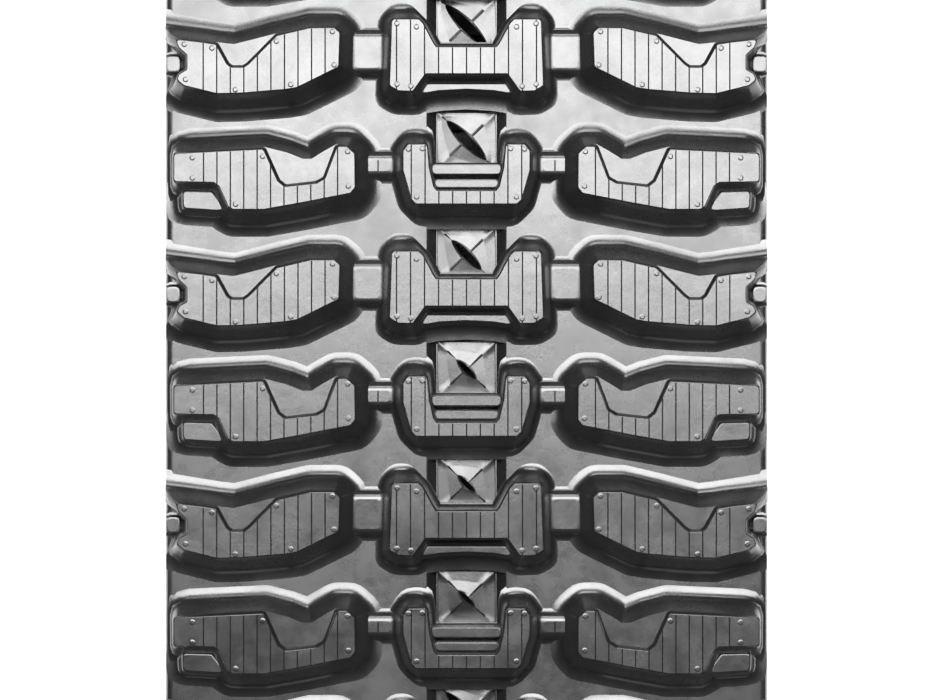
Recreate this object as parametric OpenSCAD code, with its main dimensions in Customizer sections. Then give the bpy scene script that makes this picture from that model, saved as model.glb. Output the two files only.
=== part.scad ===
// Endless rubber track for a compact track loader: rubber belt in two layers, forged steel
// cores with guide horns, wound steel cords and alternating rows of tread lugs.
// +X is the front of the loop, +Y across it, +Z up. It stands on the lugs of its bottom run,
// with the origin on the ground under its middle.

/* [Loop] */
// Distance from one steel core to the next along the cords
pitch = 86; // [82:1:104]
// Pitches in each straight run, an even number
run_pitches = 16; // [12:2:24]
// Pitches in each half-round end, an even number
bend_pitches = 10; // [8:2:12]

/* [Belt] */
// Width of the belt
belt_w = 450; // [375:5:540]
// Rubber from the cord line out to the base of the tread
outer_t = 11.5; // [9:0.5:16]
// Rubber from the cord line in to the roller path
inner_t = 20.5; // [17:0.5:26]
// Rubber between the cord line and the steel cores
core_cover = 3.2; // [2.8:0.1:5]

/* [Lugs] */
// Height of a lug above the base of the tread
lug_h = 25; // [15:1:32]
// How far a lug's wall spreads from its face to its foot
lug_draft = 9; // [4:0.5:9]
// Height of the bars that tie the lugs of a row together
tie_h = 7; // [3:1:12]

/* [Cores] */
// Length of a steel core across the belt
core_l = 290; // [240:2:350]
// Width of a core's middle bar along the belt
bar_w = 40; // [32:1:48]
// Width of a core's wing at its end
wing_tip_w = 26; // [20:1:32]
// Height of a guide horn above the roller path
horn_h = 40; // [25:1:48]
// Free width between the two guide horns of a core
horn_gap = 60; // [50:1:72]
// Thickness of a guide horn at its root
horn_t = 22; // [18:1:27]

/* [Cords] */
// Radius of one steel cord
cord_r = 2.5; // [1.5:0.1:2.6]
// Cords on each side of the drive windows
cords_a_side = 8; // [4:1:8]
// Distance from one cord to the next
cord_step = 18; // [10:1:22]

/* [Drive windows] */
// Width of the recess over a window, across the belt
recess_w = 54; // [44:1:56]
// Thickness of the rubber skin that closes a window
skin_t = 3; // [2:0.5:5]
// Width of the slit in the skin at its middle
slit_w = 7; // [3:0.5:10]

/* [Flexing] */
// How far the hinge lines at the ends of a bend flex each way, in degrees
flex = 5; // [2:0.5:6]

/* [Hidden] */
rubber = "dimgray";
tread_rubber = "gray";
steel = "slategray";
bright_steel = "silver";

run_l = run_pitches * pitch;
turn_step = 180 / bend_pitches;             // a bend turns this far from one pitch to the next
bend_r = pitch / 2 / sin(turn_step / 2);    // its hinge lines lie on this radius
bend_in = bend_r * cos(turn_step / 2);      // and the middles of its pitches on this one
front = run_pitches;                        // first pitch of the front bend
top = front + bend_pitches;                 // first pitch of the top run
rear = top + run_pitches;                   // first pitch of the rear bend
loop_pitches = rear + bend_pitches;
ground_z = outer_t + lug_h;                 // height of the bottom run's cord line
top_z = ground_z + 2 * bend_r;

bond = 0.1;                        // layer of adhesive between the belt's layers and round a cord
joint_gap = 0.3;                   // each body stops this short of its hinge line
joint_ease = 0.4;                  // degrees to spare at the end of the flexing

window_at = 9.3;                   // middle of a drive window, from the start of its pitch
core_at = window_at + pitch / 2;   // middle of a core, midway between two windows
joint_z = -core_cover + bond;      // underside of the outer belt
skin_top = joint_z + skin_t;
inner_edge = horn_gap / 2;         // the inner belt's two bands start here
wing_cover = 5.5;                  // rubber under a wing
bar_cover = 0.5;                   // the middle bar lies this far above the roller path
horn_skirt = 4;                    // height of a horn's widest place above the roller path
horn_root_l = bar_w + 10;
horn_tip_l = 26;
horn_tip_t = 12;
cord_first = inner_edge + 14;      // the innermost cord on each side

outer_share = floor(bend_pitches / 4);      // pitches in a bend's first and last body
middle_flex = 4 * flex;                     // a bend's middle line flexes four times as far

// A body is [name, its first pitch, the pitch after it, flex at its start, flex at its end]
BODIES = [
    ["bottom_run", 0, front, flex, flex],
    ["front_bend_1", front, front + outer_share, flex, flex],
    ["front_bend_2", front + outer_share, front + bend_pitches / 2, flex, middle_flex],
    ["front_bend_3", front + bend_pitches / 2, top - outer_share, middle_flex, flex],
    ["front_bend_4", top - outer_share, top, flex, flex],
    ["top_front", top, top + run_pitches / 2, flex, 0],
    ["top_rear", top + run_pitches / 2, rear, 0, flex],
    ["rear_bend_4", rear, rear + outer_share, flex, flex],
    ["rear_bend_3", rear + outer_share, rear + bend_pitches / 2, flex, middle_flex],
    ["rear_bend_2", rear + bend_pitches / 2, loop_pitches - outer_share, middle_flex, flex],
    ["rear_bend_1", loop_pitches - outer_share, loop_pitches, flex, flex],
];
LAYERS = ["inner_belt", "cores", "cords", "outer_belt", "lugs"];

// ---- The path of the cord line: straight from one hinge line to the next ----

// Direction of the belt in pitch i, in degrees up from +X.
function heading(i) =
    let (k = i % loop_pitches)
    k < front ? 0 : k < top ? (k - front + 0.5) * turn_step : k < rear ? 180 : 180 + (k - rear + 0.5) * turn_step;
function ahead(i) = [cos(heading(i)), sin(heading(i))];
function outward(i) = [sin(heading(i)), -cos(heading(i))];

// The hinge line where pitch i starts, as [x, z].
function start_of(i) =
    let (k = i % loop_pitches)
    k < front ? [k * pitch - run_l / 2, ground_z]
    : k >= top && k < rear ? [run_l / 2 - (k - top) * pitch, top_z]
    : [(k < top ? 1 : -1) * run_l / 2, ground_z + bend_r] - ahead(k) * pitch / 2 + outward(k) * bend_in;

// A point of pitch i, as [x, z]: x along the belt from the pitch's start, z outwards.
function place(i, x, z) = start_of(i) + ahead(i) * x + outward(i) * z;

// How far the belt turns where pitch i starts.
function turn_at(i) =
    let (k = i % loop_pitches)
    k == 0 || k == front || k == top || k == rear ? turn_step / 2 : k > rear || (k > front && k < top) ? turn_step : 0;

// Draws its children in pitch i.
module on_pitch(i) {
    at = start_of(i);
    translate([at[0], 0, at[1]]) rotate([0, -heading(i), 0]) rotate([180, 0, 0]) children();
}

// Where a body starts at height z over the cord line, at a line with this turn and flex.
function edge_at(z, turn, give) = joint_gap + abs(z) * tan(give / 2 + joint_ease) - z * tan(turn / 2);

// A body's belt of width w between two heights, with room at its ends to flex. A cutter runs past them.
module slab(b, low, high, w, past = 0) {
    heights = low < 0 && high > 0 ? [low, 0, high] : [low, high];
    last = len(heights) - 1;
    corners = [for (i = [b[1] + 1 : 1 : b[2] - 1]) if (turn_at(i) > 0) i];
    rotate([90, 0, 0]) linear_extrude(w, center = true) polygon(concat(
        [for (z = heights) place(b[1], edge_at(z, turn_at(b[1]), b[3]) - past, z)],
        [for (i = corners) place(i, -high * tan(turn_at(i) / 2), high)],
        [for (k = [last : -1 : 0])
            place(b[2] - 1, pitch + past - edge_at(heights[k], turn_at(b[2]), b[4]), heights[k])],
        [for (k = [len(corners) - 1 : -1 : 0]) place(corners[k], -low * tan(turn_at(corners[k]) / 2), low)]
    ));
}

module cord_places() {
    for (side = [-1, 1], k = [0 : cords_a_side - 1])
        translate([0, side * (cord_first + k * cord_step), 0]) children();
}

// ---- The belt ----

// Wheel side of the belt: two roller paths, moulded round the cores' wings.
// The strip that the horns stand in lies a little below the roller path.
strip_w = horn_t + 6;
strip_drop = 1.5;

module inner_belt(b) {
    band_w = belt_w / 2 - inner_edge;
    color(rubber) difference() {
        for (side = [-1, 1])
            translate([0, side * (inner_edge + band_w / 2), 0]) slab(b, -inner_t, -core_cover, band_w);
        for (side = [-1, 1])
            translate([0, side * (inner_edge + strip_w / 2 - 1), 0])
                slab(b, -inner_t - 1, strip_drop - inner_t, strip_w + 2, past = 5);
        body_cores(b);
    }
}

// Ground side of the belt: grooves for the cords in its underside, recessed windows in its face.
module outer_belt(b) {
    groove = cord_r + bond;
    color(rubber) difference() {
        slab(b, joint_z, outer_t, belt_w);
        cord_places() slab(b, joint_z - 1, groove, 2 * groove, past = 5);
        for (i = [b[1] : b[2]]) on_pitch(i) window_cut(i);
    }
}

// Half of the recess over a window, as shares of the tread pattern, narrowing between the lugs' feet.
recess = [[-10.7, 27], [-1, 27], [8, 20], [19, 16]];

module window_cut(i) {
    half = [for (p = recess) [p[0] * along, p[1] * recess_w / 54]];
    translate([0, 0, skin_top]) linear_extrude(outer_t) polygon(concat(half, mirrored(half)));
    translate([window_at, 0, 0]) rotate([0, 0, 45]) slit(slit_lengths[i % len(slit_lengths)]);
}

// Slits are cut by hand, so they are not all as long.
slit_lengths = [30, 26, 19, 16, 28, 24];

module slit(length) {
    wide = slit_w / 2;
    translate([0, 0, joint_z - 1]) linear_extrude(skin_t + 2) polygon([
        [-length / 2, 0], [-length / 4, -0.8 * wide], [0, -wide], [length / 4, -0.8 * wide],
        [length / 2, 0], [length / 4, 0.8 * wide], [0, wide], [-length / 4, 0.8 * wide]
    ]);
}

// ---- Steel ----

// One forged core: middle bar, two wings and two guide horns.
module core() {
    bar_z = -inner_t + bar_cover;
    wing_z = -inner_t + wing_cover;
    translate([core_at, 0, 0]) {
        translate([0, 0, (bar_z - core_cover) / 2])
            cube([bar_w, 2 * inner_edge, -core_cover - bar_z], center = true);
        translate([0, 0, wing_z]) linear_extrude(-core_cover - wing_z) wing_outline();
        for (side = [-1, 1]) translate([0, side * (inner_edge + horn_t / 2), 0]) horn();
    }
}

module wing_outline() {
    wide = inner_edge + horn_t + 8;
    polygon([
        [-wing_tip_w / 2, -core_l / 2], [wing_tip_w / 2, -core_l / 2], [bar_w / 2, -wide], [bar_w / 2, wide],
        [wing_tip_w / 2, core_l / 2], [-wing_tip_w / 2, core_l / 2], [-bar_w / 2, wide], [-bar_w / 2, -wide]
    ]);
}

// A guide horn tapers both along the belt and across it.
module horn() {
    low = -inner_t - horn_h;
    skirt = -inner_t - horn_skirt;
    intersection() {
        rotate([90, 0, 0]) linear_extrude(horn_t, center = true) polygon([
            [-bar_w / 2, -core_cover], [-bar_w / 2, -inner_t], [-horn_root_l / 2, skirt],
            [-horn_tip_l / 2, low], [horn_tip_l / 2, low],
            [horn_root_l / 2, skirt], [bar_w / 2, -inner_t], [bar_w / 2, -core_cover]
        ]);
        rotate([90, 0, 90]) linear_extrude(2 * horn_root_l, center = true) polygon([
            [-horn_t / 2, -core_cover], [-horn_t / 2, skirt], [-horn_tip_t / 2, low],
            [horn_tip_t / 2, low], [horn_t / 2, skirt], [horn_t / 2, -core_cover]
        ]);
    }
}

module body_cores(b) {
    for (i = [b[1] : b[2] - 1]) on_pitch(i) core();
}

module cores(b) {
    color(steel) body_cores(b);
}

// A square bar stands in for each wound cord.
module cords(b) {
    color(bright_steel) cord_places() slab(b, -cord_r, cord_r, 2 * cord_r);
}

// ---- The tread ----

// The pattern is drawn for a belt 450 wide with a pitch of 86, and fitted to this one.
along = pitch / 86;
across = belt_w / 450;

// Faces of the lugs as [along the belt, across it], for the side where y is positive.
// Rows of kind a and kind b take turns.
centre_a = [
    [48.9, 30.3], [61, 39.5], [61, 48], [53, 57.3], [9.6, 55.2], [7.9, 53.5], [7.9, 36.4], [28.5, 22.5]
];
centre_b = [
    [58.5, 37], [54.6, 40.5], [33.5, 47], [18.5, 47], [14.3, 43.3], [14.3, 31], [32, 27], [49, 23.8]
];
side_a = [
    [22.2, 214], [26.3, 184], [28.3, 172], [26.8, 164], [14.4, 114], [13.9, 98], [17.6, 93], [41.2, 93],
    [45.3, 98], [59.7, 126], [64, 173], [57, 209], [53.5, 214]
];
side_b = [
    [22, 215], [18.4, 149], [27.8, 115], [16.3, 92.5], [16.3, 86], [21, 81.6], [47.2, 81],
    [50.8, 84.2], [62.6, 143], [64, 172], [43.5, 185], [42.6, 215]
];
tie_a = [[21, 66.5], [49, 83.5]];     // two corners of a tie bar
tie_b = [[24, 56.5], [40, 72]];

function mirrored(half) = [for (k = [len(half) - 1 : -1 : 0]) [half[k][0], -half[k][1]]];
function fitted(loop) = [for (p = loop) [p[0] * along, p[1] * across]];

// Where a corner of an outline goes when its two sides move out by d.
function corner_out(before, here, after, d) =
    let (
        one = (here - before) / norm(here - before),
        two = (after - here) / norm(after - here),
        normal_one = [one[1], -one[0]],
        normal_two = [two[1], -two[0]]
    )
    here + (normal_one + normal_two) * d / (1 + normal_one * normal_two);
function spread(loop, d) =
    [for (k = [0 : len(loop) - 1])
        corner_out(loop[(k + len(loop) - 1) % len(loop)], loop[k], loop[(k + 1) % len(loop)], d)];

// Three steps stand in for a lug's sloping walls, as [share of the spread, share of the height].
lug_steps = [[0.8, 0.3], [0.4, 0.65], [0, 1]];

// loop is the lug's face, seen from outside and going anticlockwise.
module lug(loop) {
    face = fitted(loop);
    for (step = lug_steps)
        translate([0, 0, outer_t]) linear_extrude(step[1] * lug_h) polygon(spread(face, step[0] * lug_draft));
}

module lug_row(centre, side_lug, tie) {
    lug(concat(centre, mirrored(centre)));
    lug(side_lug);
    lug(mirrored(side_lug));
    corners = fitted(tie);
    size = corners[1] - corners[0];
    for (y = [corners[0][1], -corners[1][1]])
        translate([corners[0][0], y, outer_t]) cube([size[0], size[1], tie_h]);
}

module lugs(b) {
    color(tread_rubber) for (i = [b[1] : b[2] - 1]) on_pitch(i) {
        if (i % 2 == 0) lug_row(centre_a, side_a, tie_a);
        else lug_row(centre_b, side_b, tie_b);
    }
}

for (b = BODIES) {
    inner_belt(b);
    cores(b);
    cords(b);
    outer_belt(b);
    lugs(b);
}
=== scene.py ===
from math import cos, pi, radians, sin

import bmesh
import bpy
import numpy as np
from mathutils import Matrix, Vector


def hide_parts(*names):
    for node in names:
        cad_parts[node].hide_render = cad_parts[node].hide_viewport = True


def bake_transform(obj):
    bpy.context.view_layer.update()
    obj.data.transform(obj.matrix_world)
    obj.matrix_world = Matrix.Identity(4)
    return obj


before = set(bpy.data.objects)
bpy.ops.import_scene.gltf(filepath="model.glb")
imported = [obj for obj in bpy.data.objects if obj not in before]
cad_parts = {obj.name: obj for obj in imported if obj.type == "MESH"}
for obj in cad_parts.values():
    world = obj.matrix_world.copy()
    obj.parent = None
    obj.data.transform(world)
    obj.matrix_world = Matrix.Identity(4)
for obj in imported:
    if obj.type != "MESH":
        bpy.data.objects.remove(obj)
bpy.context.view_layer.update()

# An endless rubber track for a compact loader, standing on its own bottom run.
# Sizes are in millimetres until a mesh is made. A point of the belt is (along, across, out):
# along the loop from the middle of the bottom run's rear end, across it, and out from the cord line.

base = 11.5          # height of the belt's tread side over the cord line

loop = {
    "pitch": 86.0,
    "runPitches": 16,
    "bendPitches": 10,
    "lug": 25.0,         # height of a lug
    "halfWidth": 225.0,
    "edgeGap": 0.4,      # the lugs stay this far inside the belt's edge
    "window": 9.3,       # middle of a drive window, from the start of its pitch
}
pitch = loop["pitch"]
runLength = loop["runPitches"] * pitch
turnStep = 180 / loop["bendPitches"]
bendRadius = pitch / 2 / sin(radians(turnStep / 2))
bottomLine = base + loop["lug"]                 # height of the bottom run's cord line
top = loop["runPitches"] + loop["bendPitches"]
rear = top + loop["runPitches"]
loopPitches = rear + loop["bendPitches"]
seam = (top + rear) // 2                        # the loop is open here, between the two top bodies

# first and last pitch line of each body
bodies = {
    "bottom_run": (0, 16), "front_bend_1": (16, 18), "front_bend_2": (18, 21), "front_bend_3": (21, 24),
    "front_bend_4": (24, 26), "top_front": (26, 34), "top_rear": (34, 42), "rear_bend_4": (42, 44),
    "rear_bend_3": (44, 47), "rear_bend_2": (47, 50), "rear_bend_1": (50, 52),
}


def onLoop(points):
    # belt points in millimetres -> world points in metres, bending round the two ends
    p = np.asarray(points, float)
    along = np.mod(p[:, 0], loopPitches * pitch)
    across, out = p[:, 1], p[:, 2]
    bend = loop["bendPitches"] * pitch
    x, z = np.empty_like(along), np.empty_like(along)
    head = np.empty_like(along)
    low = along < runLength
    x[low], z[low], head[low] = along[low] - runLength / 2, bottomLine, 0
    high = (along >= runLength + bend) & (along < 2 * runLength + bend)
    x[high] = runLength * 1.5 + bend - along[high]
    z[high], head[high] = bottomLine + 2 * bendRadius, pi
    for side, begin in ((1, runLength), (-1, 2 * runLength + bend)):
        here = (along >= begin) & (along < begin + bend)
        turn = (along[here] - begin) / bend * pi + (0 if side > 0 else pi)
        x[here] = side * runLength / 2 + bendRadius * np.sin(turn)
        z[here] = bottomLine + bendRadius - bendRadius * np.cos(turn)
        head[here] = turn
    x, z = x + out * np.sin(head), z - out * np.cos(head)
    return np.column_stack([x, -across, z]) / 1000


class Sheet:
    # collects belt-space points and faces, which become one mesh
    def __init__(self):
        self.points, self.faces = [], []

    def add(self, points, faces):
        n = len(self.points)
        self.points += [tuple(p) for p in points]
        self.faces += [tuple(n + k for k in f) for f in faces]

    def copyOf(self, other, along=0.0, flip=False):
        s = -1 if flip else 1
        n = len(self.points)
        self.points += [(p[0] + along, s * p[1], p[2]) for p in other.points]
        self.faces += [tuple(n + k for k in (reversed(f) if flip else f)) for f in other.faces]


shading = {
    "smoothAngle": 38,   # degrees; a sharper edge stays an edge
    "flat": 0.01,        # a lug's face is level to within this
    "lugFrom": base + 3, # lug faces lie above this height
    "skinTo": 4.6,       # window skins lie between these two heights
    "skinFrom": 0.1,
}


def liesFlat(corners):
    # the level faces of the lugs, and the facets of the window skins
    heights = [p[2] for p in corners]
    low, high = min(heights), max(heights)
    if low > shading["lugFrom"] and high - low < shading["flat"]:
        return True
    reach = max(abs(p[1]) for p in corners)
    return reach < skin["wide"] + 0.1 and shading["skinFrom"] < low and high < shading["skinTo"]


def addPiece(name, sheet, material):
    mesh = bpy.data.meshes.new(name)
    mesh.from_pydata([tuple(p) for p in onLoop(sheet.points)], [], sheet.faces)
    mesh.materials.append(material)
    level = mesh.attributes.new("level", "BOOLEAN", "FACE")
    level.data.foreach_set("value", [liesFlat([sheet.points[k] for k in f]) for f in sheet.faces])
    piece = bpy.data.objects.new(name, mesh)
    bpy.context.collection.objects.link(piece)
    bpy.ops.object.select_all(action="DESELECT")
    piece.select_set(True)
    bpy.context.view_layer.objects.active = piece
    bpy.ops.object.mode_set(mode="EDIT")
    bpy.ops.mesh.select_all(action="SELECT")
    bpy.ops.mesh.remove_doubles(threshold=0.00002)
    bpy.ops.mesh.normals_make_consistent(inside=False)
    bpy.ops.object.mode_set(mode="OBJECT")
    bpy.ops.object.shade_smooth_by_angle(angle=radians(shading["smoothAngle"]))
    # flat faces are shaded flat, so the rounded edges beside them don't shade them
    flat = mesh.attributes["level"]
    for polygon, mark in zip(mesh.polygons, flat.data):
        if mark.value:
            polygon.use_smooth = False
    mesh.attributes.remove(flat)
    return piece


def spread(outline, d):
    # every side of an anticlockwise outline moves out by d, or by its own entry of a list
    nearlyStraight = 0.18
    n, out = len(outline), []
    reach = list(d) if isinstance(d, (list, tuple)) else [d] * n
    for k in range(n):
        a, b, c = Vector(outline[k - 1]), Vector(outline[k]), Vector(outline[(k + 1) % n])
        one, two = (b - a).normalized(), (c - b).normalized()
        n1, n2 = Vector((one.y, -one.x)), Vector((two.y, -two.x))
        d1, d2 = reach[k - 1], reach[k]
        across = one.x * two.y - one.y * two.x
        if abs(across) < nearlyStraight:
            out.append(b + (n1 + n2).normalized() * (d1 + d2) / 2)
        else:
            out.append(b + (one * d2 - two * d1) / across)
    # a short side of a hollow corner closes up where its neighbours meet
    for k in range(n):
        along = Vector(outline[(k + 1) % n]) - Vector(outline[k])
        a, b, c, e = out[k - 1], out[k], out[(k + 1) % n], out[(k + 2) % n]
        one, two = b - a, e - c
        across = one.x * two.y - one.y * two.x
        if (c - b).dot(along) < 0 and abs(across) > 1e-4:
            share = ((c.x - a.x) * two.y - (c.y - a.y) * two.x) / across
            out[k] = out[(k + 1) % n] = a + one * share
    return out


def rounded(outline, radius, steps=4, grow=0.0):
    # corners turn into short arcs: convex ones widen by grow as a ring moves out
    n, out = len(outline), []
    for k in range(n):
        a, b, c = Vector(outline[k - 1]), Vector(outline[k]), Vector(outline[(k + 1) % n])
        one, two = (b - a), (c - b)
        turn = one.angle(two) if one.length > 1e-6 and two.length > 1e-6 else 0
        convex = one.x * two.y - one.y * two.x > 0
        r = radius + (grow if convex else 0)
        cut = min(r * np.tan(min(turn, 2.6) / 2), 0.42 * one.length, 0.42 * two.length)
        p, q = b - one.normalized() * cut, b + two.normalized() * cut
        for i in range(steps):
            t = i / (steps - 1)
            out.append(p * (1 - t) ** 2 + b * 2 * t * (1 - t) + q * t * t)
    return out


def loft(sheet, rings, heights):
    # rings run from the face outwards and down, and the first one is closed
    points = [(p[0], p[1], h) for ring, h in zip(rings, heights) for p in ring]
    n = len(rings[0])
    faces = []
    for r in range(len(rings) - 1):
        for k in range(n):
            a, b = r * n + k, r * n + (k + 1) % n
            faces.append((a, a + n, b + n, b))
    sheet.add(points, faces + [tuple(range(n))])


# The wall of a lug, from the edge of its face to where its foot runs out into the belt:
# how far out, and how far down as a share of the lug's height.
lugWall = {
    "edge": [(-0.8, 0.0), (-0.2, 0.010), (0.3, 0.04)],
    "run": 9.6,          # how far the wall leans out
    "lean": 0.83,        # share of the height that the plain wall takes
    "foot": [(1.4, 0.895), (3.4, 0.945), (6.0, 0.978), (9.0, 0.997), (12.0, 1.008)],
    "parts": (0.5, 0.94),    # rings on the plain wall, as shares of it
    "corner": 2.2,       # radius of the face's corners
    "growth": 0.9,       # how much rounder they get on the way out, as a share of the way
    "fullFoot": 16,      # a lug of this height or more has the whole width of foot
    "drop": 3.6,         # a sunk corner lies this far below the face
    "dropLean": 1.7,     # and the little wall down to it leans out this far
    "buried": -2.0,      # where the foot ends, inside the belt
}


def lugSheet(outline, height, sipes=None, wall=lugWall, draft=1.0, steps=4, steep=None, body=None):
    # A lug in its own pitch: outline is its face as (along, across), anticlockwise from outside.
    # steep(a, b) gives the share of the lean that the side from a to b has. body is the outline below
    # the sunk corners of the face.
    sheet = Sheet()
    n = len(outline)
    under = body or outline
    sides = list(zip(outline, outline[1:] + outline[:1]))
    share = [steep(a, b) if steep else 1.0 for a, b in sides]
    moved = [outline[k] != under[k] for k in range(n)]
    sunk = [moved[k] or moved[(k + 1) % n] for k in range(n)]
    run = wall["run"] * draft * height / loop["lug"]
    rings, heights = [], []

    def ring(shape, offsets, down):
        grow = max(max(offsets), 0)
        rings.append(rounded(spread(shape, offsets), wall["corner"], steps, grow=grow * wall["growth"]))
        heights.append(base + height * (1 - down))

    for out, down in wall["edge"]:
        ring(outline, [out] * n, down)
    if body:
        level = wall["drop"] / height
        lean = run * level / wall["lean"]
        ring(outline, [wall["dropLean"] if sunk[k] else lean * share[k] for k in range(n)], level)
        ring(under, [lean * share[k] for k in range(n)], level)
    for part in wall["parts"]:
        ring(under, [run * part * share[k] for k in range(n)], wall["lean"] * part)
    footShare = min(1, height / wall["fullFoot"])
    for out, down in wall["foot"]:
        ring(under, [(run + out * footShare) * share[k] for k in range(n)], down)
    rings.append(rings[-1])
    heights.append(wall["buried"])
    loft(sheet, rings, heights)
    if sipes:
        cutSipes(sheet, base + height, sipes)
    return sheet


def cutSipes(sheet, faceHeight, sipes):
    # narrow grooves along the belt, cut into the face by bisecting it and pushing the strips down
    mesh = bpy.data.meshes.new("sipeWork")
    mesh.from_pydata(sheet.points, [], sheet.faces)
    work = bpy.data.objects.new("sipeWork", mesh)
    bpy.context.collection.objects.link(work)
    bpy.ops.object.select_all(action="DESELECT")
    work.select_set(True)
    bpy.context.view_layer.objects.active = work
    slack = 0.05         # for finding faces and points again by their place
    half = sipes["width"] / 2

    def selectFace(strips=False):
        bpy.ops.mesh.select_mode(type="FACE")
        bpy.ops.mesh.select_all(action="DESELECT")
        bm = bmesh.from_edit_mesh(mesh)
        for f in bm.faces:
            middle = f.calc_center_median().y
            onFace = all(v.co.z > faceHeight - slack / 2 for v in f.verts)
            inStrip = any(abs(middle - place) < half + slack for place in sipes["places"])
            f.select_set(onFace and (inStrip or not strips))
        bmesh.update_edit_mesh(mesh)

    bpy.ops.object.mode_set(mode="EDIT")
    for place in sipes["places"]:
        for edge in (place - half, place + half):
            selectFace()
            bpy.ops.mesh.bisect(plane_co=(0, edge, 0), plane_no=(0, 1, 0))
    selectFace(strips=True)
    bpy.ops.mesh.extrude_region_move(TRANSFORM_OT_translate={"value": (0, 0, -sipes["depth"])})
    bpy.ops.object.mode_set(mode="OBJECT")
    # the strips' floors close up, so each groove is a V
    bottom = faceHeight - sipes["depth"]
    sheet.points = []
    for v in mesh.vertices:
        near = min(sipes["places"], key=lambda place: abs(place - v.co.y))
        inGroove = abs(v.co.z - bottom) < slack and abs(v.co.y - near) < half + slack
        sheet.points.append((v.co.x, near if inGroove else v.co.y, v.co.z))
    sheet.faces = [tuple(p.vertices) for p in mesh.polygons]
    bpy.data.objects.remove(work)
    bpy.data.meshes.remove(mesh)


def bothHalves(half):
    # half an outline where across is positive -> all of it
    return half + [(u, -y) for u, y in reversed(half)]


# Two rows take turns round the loop. An outline is (along, across), and w is the middle of the row's window.
# sunk holds the lower outline's corners where the face of a side lug has its V-shaped step.
w = loop["window"]
rowA = {
    "centre": [(w + 39.2, 30.2), (w + 52.2, 39.6), (w + 51.8, 50.6), (w + 47.8, 57.4), (w - 0.4, 55.8),
               (w - 2.0, 54.2), (w - 2.0, 35.0), (w + 1.2, 31.8), (w + 15.6, 24.2), (w + 18.6, 22.0)],
    "centreSipes": (-57, 57),
    "centreMarks": [(w + 1.6, 51.5), (w + 4.1, 37.08), (w + 46.5, 51.5), (w + 48, 41.2)],
    "side": [(w + 13.0, 216.0), (w + 15.1, 196.7), (w + 16.9, 185.2), (w + 31.3, 177.3), (w + 33.8, 174.1),
             (w + 33.8, 165.2), (w + 31.3, 161.6), (w + 10.2, 140.6), (w + 4.5, 116.0), (w + 4.4, 97.6),
             (w + 8.2, 93.4), (w + 32.8, 94.2), (w + 34.6, 95.6), (w + 49.3, 125.4), (w + 50.8, 134.3),
             (w + 53.4, 165.8), (w + 53.9, 184.8), (w + 47.9, 209.4), (w + 43.2, 215.0), (w + 38.6, 213.0),
             (w + 35.4, 207.4), (w + 25.1, 207.4), (w + 19.6, 213.4)],
    "sunk": {3: (w + 17.3, 181.0), 4: (w + 17.8, 177.0), 5: (w + 18.2, 172.0), 6: (w + 14.6, 157.5)},
    "sideSipes": (99.7, 200),
    "sideMarks": [(w + 7.6, 99.3), (w + 14.7, 140.8), (w + 19.8, 188.5), (w + 17, 209), (w + 32.3, 98),
                  (w + 46.8, 130.1), (w + 50.6, 171.2), (w + 43, 208)],
    # a low arched step under the centre lug, and a bar in the notch of each side lug's end
    "step": [(w + 53.2, 34.6), (w + 45.2, 29.2), (w + 45.2, -29.2), (w + 53.2, -34.6),
             (w + 50.8, -20.0), (w + 49.8, 0.0), (w + 50.8, 20.0)],
    "stepHeight": 14,
    "bar": [(w + 35.6, 223.8), (w + 24.6, 223.8), (w + 24.6, 214.5), (w + 35.6, 214.5)],
    "barHeight": 3.5,
    "tie": (w + 7.5, w + 36.0, 62, 86),
    "tieSipe": False,
}
rowB = {
    "centre": [(w + 49.6, 37.6), (w + 46.0, 41.2), (w + 24.2, 47.4), (w + 9.8, 47.4), (w + 4.7, 43.8),
               (w + 4.7, 28.8), (w + 22.4, 27.2), (w + 36.0, 24.0), (w + 39.1, 21.6)],
    "centreSipes": (-46, 46),
    "centreMarks": [(w + 8.6, 43), (w + 8.2, 32.68), (w + 44, 36.98)],
    "side": [(w + 11.6, 217.2), (w + 10.0, 184.8), (w + 8.4, 150.1), (w + 32.1, 139.5), (w + 36.2, 134.3),
             (w + 33.6, 111.3), (w + 30.0, 105.0), (w + 6.4, 96.1), (w + 6.4, 88.2), (w + 11.6, 82.4),
             (w + 37.2, 82.1), (w + 41.6, 85.8), (w + 49.0, 123.9), (w + 53.6, 150.1), (w + 53.6, 173.1),
             (w + 51.6, 176.6), (w + 36.2, 183.6), (w + 33.6, 187.4), (w + 33.1, 217.2)],
    "sunk": {3: (w + 12.6, 133.5), 4: (w + 17.3, 121.7), 5: (w + 17.3, 114.4), 6: (w + 12.0, 106.0)},
    "sideSipes": (90.5, 199.7),
    "sideMarks": [(w + 10.5, 88), (w + 36, 87.5), (w + 14, 151), (w + 49.5, 171), (w + 15, 203),
                  (w + 30, 203)],
    # two bars across the centre lug behind the window, and a low step at the end of each side lug
    "ledges": [([(w + 27.1, 25.4), (w + 19.4, 26.4)], 17), ([(w + 36.9, 23.0), (w + 30.6, 24.4)], 16)],
    "outerStep": [(w + 39.2, 211.3), (w + 39.7, 189.5), (w + 54.2, 178.6), (w + 52.1, 210.8)],
    "outerStepHeight": 13,
    "tie": (w + 12.5, w + 27.0, 54, 78),
    "tieSipe": True,
}
tie = {"height": 5.2, "draft": 1.5, "sipe": {"width": 1.0, "depth": 1.2}}
lowWall = dict(lugWall, corner=2.5)
tieWall = dict(lowWall, edge=[(-3.2, 0.0), (-1.6, 0.03), (-0.2, 0.12)])

# Shares of the plain wall's lean. The walls beside the drive window and in the notch at the outer end stand
# nearly upright, and the other walls of a centre lug are steeper than a side lug's.
lean = {
    "window": 0.24, "centreEnd": 0.56, "centreFront": 0.72, "centreBack": 0.82,
    "notch": 0.3, "ledge": 0.12,
}


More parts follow.
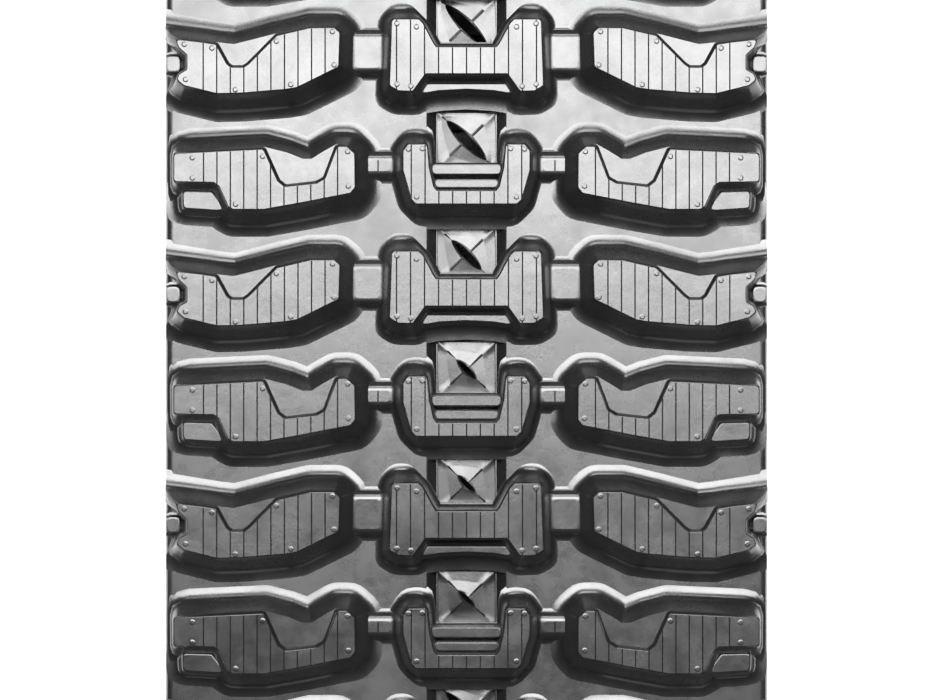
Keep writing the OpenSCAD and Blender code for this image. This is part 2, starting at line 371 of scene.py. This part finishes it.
wallPlace = {
    "windowAcross": 37.5, "windowAlong": w + 40,     # walls within these are beside the window
    "endAcross": 37,                                 # the ends of a centre lug are past this
    "front": w + 20,                                 # and its front wall is short of this
    "notchAcross": 205, "notchAlong": (w + 19, w + 42),
}


def steepCentre(a, b):
    near, far = sorted((abs(a[1]), abs(b[1])))
    if far < wallPlace["windowAcross"] and max(a[0], b[0]) < wallPlace["windowAlong"]:
        return lean["window"]
    if near > wallPlace["endAcross"] and abs(a[0] - b[0]) > far - near:
        return lean["centreEnd"]
    return lean["centreFront"] if max(a[0], b[0]) < wallPlace["front"] else lean["centreBack"]


def steepSide(a, b):
    first, last = wallPlace["notchAlong"]
    inNotch = min(a[1], b[1]) > wallPlace["notchAcross"] and first < (a[0] + b[0]) / 2 < last
    return lean["notch"] if inNotch else 1.0


def steepLedge(a, b):
    return lean["ledge"]


def sunkBody(row):
    # a side lug's outline below its sunk step
    return [row["sunk"].get(k, point) for k, point in enumerate(row["side"])]


sipe = {"width": 1.0, "depth": 1.7, "spacing": 10.2}


def sipePlaces(low, high):
    # evenly spaced, with half a space left at each end
    count = max(1, round((high - low) / sipe["spacing"]))
    gap = (high - low) / count
    return dict(sipe, places=[low + gap * (k + 0.5) for k in range(count)])


ventMark = {"radius": 2.2, "top": 0.6, "proud": 0.5, "edge": 0.3, "buried": 0.4}


def addVentMarks(sheet, places, face):
    # low round marks that the mould's air vents leave
    for u, y in places:
        turns = [k * pi / 4 for k in range(8)]
        ring = [(u + ventMark["radius"] * cos(t), y + ventMark["radius"] * sin(t)) for t in turns]
        top = [(u + (a - u) * ventMark["top"], y + (b - y) * ventMark["top"]) for a, b in ring]
        heights = [face + ventMark["proud"], face + ventMark["edge"], face - ventMark["buried"]]
        loft(sheet, [top, ring, ring], heights)


def rowSheet(row):
    # a whole row of lugs, in the pitch from 0
    sheet, side = Sheet(), Sheet()
    height = loop["lug"] - ventMark["proud"]
    sipes = sipePlaces(*row["centreSipes"])
    sheet.copyOf(lugSheet(bothHalves(row["centre"]), height, sipes, steep=steepCentre))
    sipes = sipePlaces(*row["sideSipes"])
    side.copyOf(lugSheet(row["side"], height, sipes, steep=steepSide, body=sunkBody(row)))
    if "bar" in row:
        side.copyOf(lugSheet(row["bar"], row["barHeight"], steps=3, wall=lowWall))
    if "outerStep" in row:
        side.copyOf(lugSheet(row["outerStep"], row["outerStepHeight"], draft=0.8, wall=lowWall))
    if "step" in row:
        sheet.copyOf(lugSheet(row["step"], row["stepHeight"], draft=0.6))
    for ledge, ledgeHeight in row.get("ledges", ()):
        sheet.copyOf(lugSheet(bothHalves(ledge), ledgeHeight, steps=3, steep=steepLedge))
    addVentMarks(side, row["sideMarks"], base + height)
    addVentMarks(sheet, row["centreMarks"] + [(u, -y) for u, y in row["centreMarks"]], base + height)
    u0, u1, y0, y1 = row["tie"]
    corners = [(u1, y0), (u1, y1), (u0, y1), (u0, y0)]
    groove = dict(tie["sipe"], places=[(y0 + y1) / 2]) if row["tieSipe"] else None
    side.copyOf(lugSheet(corners, tie["height"], groove, draft=tie["draft"], wall=tieWall))
    sheet.copyOf(side)
    sheet.copyOf(side, flip=True)
    limit = loop["halfWidth"] - loop["edgeGap"]
    sheet.points = [(u, max(-limit, min(limit, y)), z) for u, y, z in sheet.points]
    return sheet


rows = (rowSheet(rowA), rowSheet(rowB))
print("rows modelled:", [len(row.faces) for row in rows], "faces")


# Half of the belt's cross-section as (across, out): from the drive windows along the tread side, round the
# edge, and back along the roller path. The two layers of rubber meet at coreLine, over the cores.
edge = loop["halfWidth"]
rollerLine = -20.5
coreLine = -3.0
section = {
    "windowSide": [(22.4, 0.4), (23.4, 1.2), (28.2, base - 1.3), (29.0, base - 0.3), (30.2, base)],
    "treadSide": [(60, base), (100, base), (160, base)],
    "outerEdge": [(edge - 6, base), (edge - 2.6, 11.1), (edge - 0.9, 10.0), (edge - 0.2, 8.0)],
    "innerEdge": [(edge, -4), (edge - 0.6, -12), (edge - 3.5, -17.2), (edge - 9, -19.8)],
    "rollerSide": [(200, rollerLine), (150, rollerLine), (100, rollerLine), (62, rollerLine)],
    "channelSide": [(34.0, rollerLine), (31.0, -18.5)],
}


def sweepLines(first, last):
    # places along the belt where a cross-section stands, six in each pitch
    return [first * pitch + k * pitch / 6 for k in range(int(round((last - first) * 6)) + 1)]


def sweep(sheet, profile, lines):
    # a closed profile of (across, out), swept along the belt
    n = len(profile)
    points = [(u, y, z) for u in lines for y, z in profile]
    faces = []
    for r in range(len(lines) - 1):
        for k in range(n):
            a, b = r * n + k, r * n + (k + 1) % n
            faces.append((a, b, b + n, a + n))
    ends = [tuple(r * n + k for k in range(n)) for r in (0, len(lines) - 1)]
    sheet.add(points, faces + ends)


outerHalf = (section["windowSide"] + section["treadSide"] + section["outerEdge"]
             + [(edge, coreLine), (22.4, coreLine)])
innerHalf = ([(29.5, coreLine), (edge, coreLine)] + section["innerEdge"] + section["rollerSide"]
             + section["channelSide"])


bridgeShape = {
    "from": 21.5, "to": 20.5,        # past one window's middle, and short of the next one's
    "topWide": 32, "footWide": 27.2, # half its width at the top and at the foot
    "slope": 4.5,                    # how far its walls lean
    "corner": 2.0,
    "rounding": (4, 0.8),            # how far in the rings stand at the top and above the foot
    "heights": [base, base - 0.4, 2.2, 0.4, -7.0],
}


def bridge(sheet, i):
    # the rubber over one core, between two windows
    u0, u1 = i * pitch + w + bridgeShape["from"], (i + 1) * pitch + w - bridgeShape["to"]
    slope, wide, foot = bridgeShape["slope"], bridgeShape["topWide"], bridgeShape["footWide"]
    flat = [(u1 - slope, wide), (u0 + slope, wide), (u0 + slope, -wide), (u1 - slope, -wide)]
    ground = [(u1, foot), (u0, foot), (u0, -foot), (u1, -foot)]
    atTop, atFoot = bridgeShape["rounding"]
    rings = [spread(flat, -atTop), spread(flat, 0.0), spread(ground, -atFoot), ground, ground]
    rings = [rounded(r, bridgeShape["corner"], 3) for r in rings]
    loft(sheet, rings, bridgeShape["heights"])


skin = {
    "long": 21.5, "wide": 22.6,      # half its size along and across the belt
    "floor": -2.9, "crown": 0.7,     # its inner side, and the rise to the middle
    "rib": 0.3,                      # height of the creases
    "ribTurn": 0.05,                 # half the width of a crease, in radians
    "facetParts": 8,
    "slits": [44, 41, 30, 19, 17, 16],   # they are cut by hand, so they aren't all as long
    "slitOpen": (0.8, 0.15),         # a slit gapes by the first, and by a share of its length
    # from the slit to the raised edge: how far out a ring lies, and its height over the low pyramid
    "rings": [(0.0, -1.6), (0.0, 0.9), (0.06, 0.5), (0.5, 0.0), (0.92, 0.0), (0.95, 0.9), (1.0, 0.9)],
}


def slitPoint(turn, length, width):
    # a point of the slit's outline, which is a lens that lies across the corners
    t = turn - pi / 4
    a, b = length * cos(t), width * sin(t) * abs(sin(t)) ** 0.3
    return (a - b) * cos(pi / 4), (a + b) * cos(pi / 4)


def windowSkin(sheet, i):
    # the skin over a drive window: a low pyramid with raised creases and edge, slit from corner to corner
    half = skin["slits"][i % len(skin["slits"])] / 2
    gape = skin["slitOpen"][0] + skin["slitOpen"][1] * half
    a, b = skin["long"], skin["wide"]
    corner = np.arctan2(b, a)
    corners = [corner, pi - corner, pi + corner, 2 * pi - corner]
    turns, ribs = [], []
    for k, here in enumerate(corners):
        facet = (corners[(k + 1) % 4] - here) % (2 * pi) - 2 * skin["ribTurn"]
        parts = skin["facetParts"]
        turns += [here] + [here + skin["ribTurn"] + facet * m / parts for m in range(parts + 1)]
        ribs += [skin["rib"]] + [0.0] * (parts + 1)
    rings = [[] for _ in skin["rings"]]
    for turn, rib in zip(turns, ribs):
        x, y = slitPoint(turn, half, gape)
        reach = 1 / max(abs(cos(turn)) / a, abs(sin(turn)) / b)
        for r, (share, rise) in enumerate(skin["rings"]):
            px, py = x + (cos(turn) * reach - x) * share, y + (sin(turn) * reach - y) * share
            z = skin["crown"] * (1 - max(abs(px / a), abs(py / b))) + rise
            rings[r].append((i * pitch + w + px, py, z + (rib if r > 1 else 0)))
    rings += [[(u, y, skin["floor"]) for u, y, z in ring] for ring in (rings[-1], rings[0])]
    count = len(turns)
    order = list(range(len(rings))) + [0]
    faces = [(one * count + k, two * count + k, two * count + (k + 1) % count, one * count + (k + 1) % count)
             for one, two in zip(order, order[1:]) for k in range(count)]
    sheet.add([point for ring in rings for point in ring], faces)


def toLinear(hexColour):
    # sRGB hex -> the linear colour that the sockets take
    values = [int(hexColour[k:k + 2], 16) / 255 for k in (1, 3, 5)]
    return tuple(v / 12.92 if v <= 0.04045 else ((v + 0.055) / 1.055) ** 2.4 for v in values) + (1.0,)


def addNode(material, kind, links=(), **settings):
    # adds a node; links are (output socket, name or number of this node's input)
    node = material.node_tree.nodes.new(kind)
    for key, value in settings.items():
        if key in node.inputs.keys():
            node.inputs[key].default_value = value
        else:
            setattr(node, key, value)
    for source, name in links:
        material.node_tree.links.new(source, node.inputs[name])
    return node


def newMaterial(name):
    material = bpy.data.materials.new(name)
    material.use_nodes = True
    shader = material.node_tree.nodes["Principled BSDF"]
    place = addNode(material, "ShaderNodeTexCoord").outputs["Object"]
    return material, shader, place


def ramp(material, source, stops):
    node = addNode(material, "ShaderNodeValToRGB", [(source, "Fac")])
    for element, (at, colour) in zip(node.color_ramp.elements, (stops[0], stops[-1])):
        element.position = at
        element.color = toLinear(colour)
    for at, colour in stops[1:-1]:
        node.color_ramp.elements.new(at).color = toLinear(colour)
    return node.outputs["Color"]


def mapped(material, source, fromRange, toRange):
    node = addNode(material, "ShaderNodeMapRange", [(source, "Value")])
    for name, value in zip(("From Min", "From Max", "To Min", "To Max"), fromRange + toRange):
        node.inputs[name].default_value = value
    return node.outputs["Result"]


rubber = {
    "scuff": "#3c3b39",      # dry scuffs, drawn out across the belt
    "scuffFrom": (0.60, 0.78),
    "sheen": (0.035, 0.45),  # weight and roughness of the bloom of wax
    "ior": 1.52,
}


def mouldedRubber(name, colours, rough, wear):
    # carbon-black rubber, vulcanised in a steel mould: a gloss that follows the mould's polish,
    # faint flow marks, dry scuffs and a thin bloom of wax that greys it where it is seen at a slant
    material, shader, place = newMaterial(name)
    cloud = addNode(material, "ShaderNodeTexNoise", [(place, "Vector")],
                    Scale=14.0, Detail=5.0, Roughness=0.6)
    flow = addNode(material, "ShaderNodeTexNoise", [(place, "Vector")],
                    Scale=55.0, Detail=6.0, Roughness=0.62)
    grain = addNode(material, "ShaderNodeTexNoise", [(place, "Vector")],
                    Scale=900.0, Detail=3.0, Roughness=0.7)
    stretch = addNode(material, "ShaderNodeMapping", [(place, "Vector")], Scale=(30.0, 260.0, 60.0))
    scuff = addNode(material, "ShaderNodeTexNoise", [(stretch.outputs["Vector"], "Vector")],
                    Scale=1.0, Detail=8.0, Roughness=0.7)
    tone = ramp(material, cloud.outputs["Fac"], colours)
    marks = mapped(material, scuff.outputs["Fac"], rubber["scuffFrom"], (0.0, wear))
    paint = addNode(material, "ShaderNodeMix", [(marks, 0), (tone, 6)], data_type="RGBA")
    paint.inputs[7].default_value = toLinear(rubber["scuff"])
    material.node_tree.links.new(paint.outputs[2], shader.inputs["Base Color"])
    blend = addNode(material, "ShaderNodeMath", [(flow.outputs["Fac"], 0), (cloud.outputs["Fac"], 1)],
                    operation="ADD")
    gloss = mapped(material, blend.outputs[0], (0.75, 1.25), rough)
    material.node_tree.links.new(gloss, shader.inputs["Roughness"])
    fine = addNode(material, "ShaderNodeBump", [(grain.outputs["Fac"], "Height")],
                   Strength=0.05, Distance=0.0004)
    wavy = addNode(material, "ShaderNodeBump",
                   [(flow.outputs["Fac"], "Height"), (fine.outputs[0], "Normal")],
                   Strength=0.11, Distance=0.0012)
    material.node_tree.links.new(wavy.outputs[0], shader.inputs["Normal"])
    shader.inputs["IOR"].default_value = rubber["ior"]
    shader.inputs["Sheen Weight"].default_value = rubber["sheen"][0]
    shader.inputs["Sheen Roughness"].default_value = rubber["sheen"][1]
    return material


def forgedSteel():
    # drop-forged alloy steel under a baked adhesive primer: dark with scale, and a little browner in patches
    material, shader, place = newMaterial("forged_steel_primed")
    cloud = addNode(material, "ShaderNodeTexNoise", [(place, "Vector")],
                    Scale=60.0, Detail=7.0, Roughness=0.65)
    grit = addNode(material, "ShaderNodeTexNoise", [(place, "Vector")], Scale=700.0, Detail=3.0)
    tone = ramp(material, cloud.outputs["Fac"], [(0.30, "#262626"), (0.52, "#3d3b39"), (0.74, "#574f48")])
    material.node_tree.links.new(tone, shader.inputs["Base Color"])
    gloss = mapped(material, cloud.outputs["Fac"], (0.0, 1.0), (0.38, 0.62))
    material.node_tree.links.new(gloss, shader.inputs["Roughness"])
    bump = addNode(material, "ShaderNodeBump", [(grit.outputs["Fac"], "Height")],
                   Strength=0.35, Distance=0.0004)
    material.node_tree.links.new(bump.outputs[0], shader.inputs["Normal"])
    shader.inputs["Metallic"].default_value = 0.85
    return material


def coatedCord():
    # drawn high-carbon steel wire, brass coated so that rubber bonds to it, stranded at a slant
    material, shader, place = newMaterial("brass_coated_cord")
    twist = addNode(material, "ShaderNodeTexWave", [(place, "Vector")], Scale=90.0, Distortion=0.4,
                    bands_direction="DIAGONAL")
    tone = ramp(material, twist.outputs["Fac"], [(0.2, "#6b5a35"), (0.8, "#b79a5c")])
    material.node_tree.links.new(tone, shader.inputs["Base Color"])
    bump = addNode(material, "ShaderNodeBump", [(twist.outputs["Fac"], "Height")],
                   Strength=0.6, Distance=0.0005)
    material.node_tree.links.new(bump.outputs[0], shader.inputs["Normal"])
    shader.inputs["Metallic"].default_value = 1.0
    shader.inputs["Roughness"].default_value = 0.36
    return material


treadRubber = mouldedRubber("moulded_tread_rubber", [(0.3, "#0f0f10"), (0.55, "#151516"), (0.8, "#1c1c1d")],
                            (0.20, 0.30), 0.07)
beltRubber = mouldedRubber("moulded_belt_rubber", [(0.3, "#0d0d0e"), (0.55, "#131314"), (0.8, "#1a1a1b")],
                           (0.22, 0.34), 0.07)
steel = forgedSteel()
cordMetal = coatedCord()


def coatNodes(prefix, material):
    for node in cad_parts:
        if node.startswith(prefix):
            for slot in bpy.data.objects[node].material_slots:
                slot.material = material


coatNodes("cores_", steel)
coatNodes("cords_", cordMetal)
print("materials made")


def hingePoint(u):
    # a point of the cord line and the belt's heading there
    here = onLoop([(u, 0, 0)])[0]
    ahead = onLoop([(u + 0.5, 0, 0)])[0] - onLoop([(u - 0.5, 0, 0)])[0]
    return Vector(here), Vector(ahead).normalized()


names = list(bodies)
order = names[:names.index("top_front") + 1]
rearOrder = ["bottom_run"] + names[:names.index("top_front"):-1]
rowPlace = 0.4       # a row belongs to the piece that holds this place of its pitch
labels = {"outer_belt": "tread_side_carcass", "inner_belt": "roller_side_carcass", "lugs": "tread"}


def middleOf(name):
    first, last = bodies[name]
    return (first + last) / 2


# Each piece runs from the middle of one body to the middle of the next: the two bodies, its first and last
# pitch line, and the hinge between. Next to the loop's opening it runs to the seam.
spans = []
for chain, side in ((order, "front"), (rearOrder, "rear")):
    for k, (a, b) in enumerate(zip(chain, chain[1:])):
        if side == "front":
            begin, hinge = middleOf(a), bodies[b][0]
            end = seam if b == "top_front" else middleOf(b)
        else:
            begin = loopPitches + middleOf(a) if a == "bottom_run" else middleOf(a)
            hinge = bodies[b][1]
            end = seam if b == "top_rear" else middleOf(b)
        spans.append((a, b, min(begin, end), max(begin, end), hinge))


def hold(piece, span, layer):
    # stands in for the model's parts of this layer on bodies a and b: hides them and bakes the piece's place
    # into its mesh; the hinge's point and heading are found but not used
    a, b, first, last, hinge = span
    at, heading = hingePoint(hinge * pitch)
    bodyMiddle = Vector(onLoop([(middleOf(b) * pitch, 0, 0)])[0])
    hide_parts(layer + "_" + a, layer + "_" + b)
    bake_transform(piece)


def pitchesIn(first, last, at):
    # the pitches whose place at lies between two pitch lines
    return [i for i in range(int(first) - 1, int(last) + 2) if first <= i + at < last]


for span in spans:
    a, b, first, last, hinge = span
    lines = sweepLines(first, last)
    outer, inner, tread = Sheet(), Sheet(), Sheet()
    for flip in (False, True):
        half = Sheet()
        sweep(half, outerHalf, lines)
        outer.copyOf(half, flip=flip)
        half = Sheet()
        sweep(half, innerHalf, lines)
        inner.copyOf(half, flip=flip)
    for i in pitchesIn(first, last, loop["window"] / pitch):
        windowSkin(outer, i)
        bridge(outer, i)
    for i in pitchesIn(first, last, rowPlace):
        tread.copyOf(rows[i % 2], along=i * pitch)
    for sheet, layer, material in ((outer, "outer_belt", beltRubber), (inner, "inner_belt", beltRubber),
                                   (tread, "lugs", treadRubber)):
        piece = addPiece(labels[layer] + "_" + b, sheet, material)
        hold(piece, span, layer)
    print("rubber from", a, "to", b)


room = {"floorSize": 14.0, "floor": "#f4f4f4", "floorRough": 0.7, "light": 0.10, "pale": "#f2f2f2"}


def addFloor():
    bpy.ops.object.select_all(action="DESELECT")
    bpy.ops.mesh.primitive_plane_add(size=room["floorSize"], location=(0, 0, 0))
    floor = bpy.context.object
    floor.name = "studio_floor"
    material, shader, place = newMaterial("pale_floor")
    shader.inputs["Base Color"].default_value = toLinear(room["floor"])
    shader.inputs["Roughness"].default_value = room["floorRough"]
    floor.data.materials.append(material)


def addPanel(name, at, aim, size, power):
    light = bpy.data.lights.new(name, "AREA")
    light.shape = "RECTANGLE"
    light.size, light.size_y = size
    light.energy = power
    lamp = bpy.data.objects.new(name, light)
    lamp.location = at
    lamp.rotation_euler = (Vector(aim) - Vector(at)).to_track_quat("-Z", "Y").to_euler()
    bpy.context.collection.objects.link(lamp)


# Name, place, what it points at, size, and power in watts. The level faces mirror the overhead panel.
panels = [
    ("overhead_panel", (1.05, 0, 4.2), (1.05, 0, 0), (1.8, 3.0), 400),
    ("slanted_panel", (3.3, 0, 3.0), (0, 0, 0.6), (1.8, 1.6), 110),
    ("side_panel", (0, -3.0, 0.34), (0, 0, 0.3), (3.4, 0.5), 55),
    ("end_panel", (-3.6, 0, 0.34), (0, 0, 0.3), (2.0, 0.5), 45),
    ("side_panel", (0, 3.0, 0.34), (0, 0, 0.3), (3.4, 0.5), 55),
    ("end_panel", (3.6, 0, 0.34), (0, 0, 0.3), (2.0, 0.5), 45),
]
addFloor()
for panel in panels:
    addPanel(*panel)


def paleRoom():
    # the room reads pale behind the track, and gives it only a little light
    world = bpy.data.worlds.new("studio")
    bpy.context.scene.world = world
    world.use_nodes = True
    nodes, links = world.node_tree.nodes, world.node_tree.links
    lit = nodes["Background"]
    lit.inputs["Color"].default_value = toLinear("#ffffff")
    lit.inputs["Strength"].default_value = room["light"]
    seen = nodes.new("ShaderNodeBackground")
    seen.inputs["Color"].default_value = toLinear(room["pale"])
    path = nodes.new("ShaderNodeLightPath")
    choose = nodes.new("ShaderNodeMixShader")
    links.new(path.outputs["Is Camera Ray"], choose.inputs[0])
    links.new(lit.outputs[0], choose.inputs[1])
    links.new(seen.outputs[0], choose.inputs[2])
    links.new(choose.outputs[0], nodes["World Output"].inputs["Surface"])


paleRoom()
bpy.context.scene.view_settings.view_transform = "Standard"

view = {"at": (0.0913, 0.0, 3.213), "lens": 135.0, "sensor": 36.0}
camera = bpy.data.objects.new("camera", bpy.data.cameras.new("camera"))
camera.data.lens = view["lens"]
camera.data.sensor_width = view["sensor"]
camera.location = view["at"]
camera.rotation_euler = (0, 0, -pi / 2)
bpy.context.collection.objects.link(camera)
bpy.context.scene.camera = camera
print("camera and lights placed")
